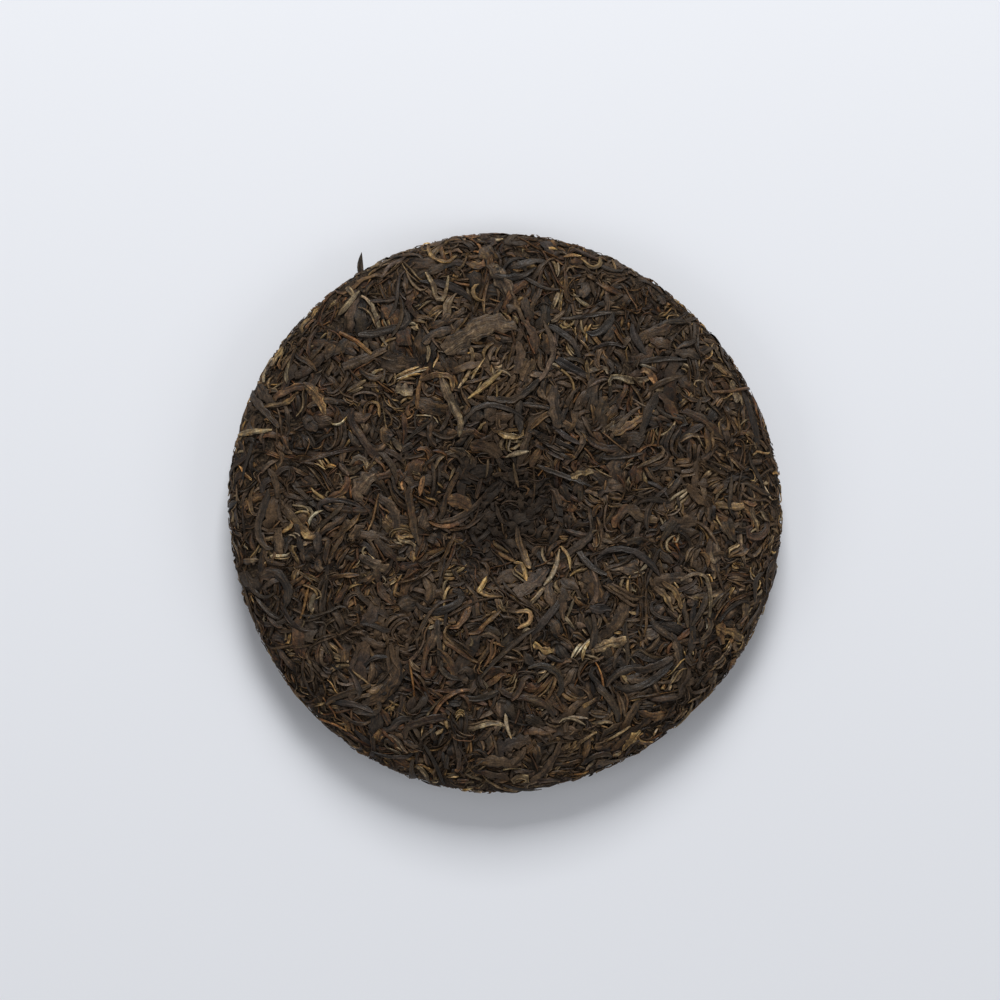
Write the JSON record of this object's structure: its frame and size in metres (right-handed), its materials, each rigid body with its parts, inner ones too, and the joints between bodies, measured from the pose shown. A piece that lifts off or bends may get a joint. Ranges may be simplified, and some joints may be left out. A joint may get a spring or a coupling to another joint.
{
  "type": "pu erh tea cake",
  "caption": "Round pressed cake of pu erh tea: a domed disc of packed leaves with a hollow in the middle of one face.",
  "frame": {"origin": "middle of the flat spot on the domed face, on which the cake rests", "axes": "+Z is the disc's axis and points out of the face with the hollow; +Y points to the top of the picture"},
  "size_m": [0.1987, 0.2013, 0.0247],
  "materials": {
    "pressed_leaf": "matt, dark brown dry leaf with tan and golden tips"
  },
  "bodies": {
    "root": {"tea_cake": "pressed_leaf"}
  },
  "joints": []
}
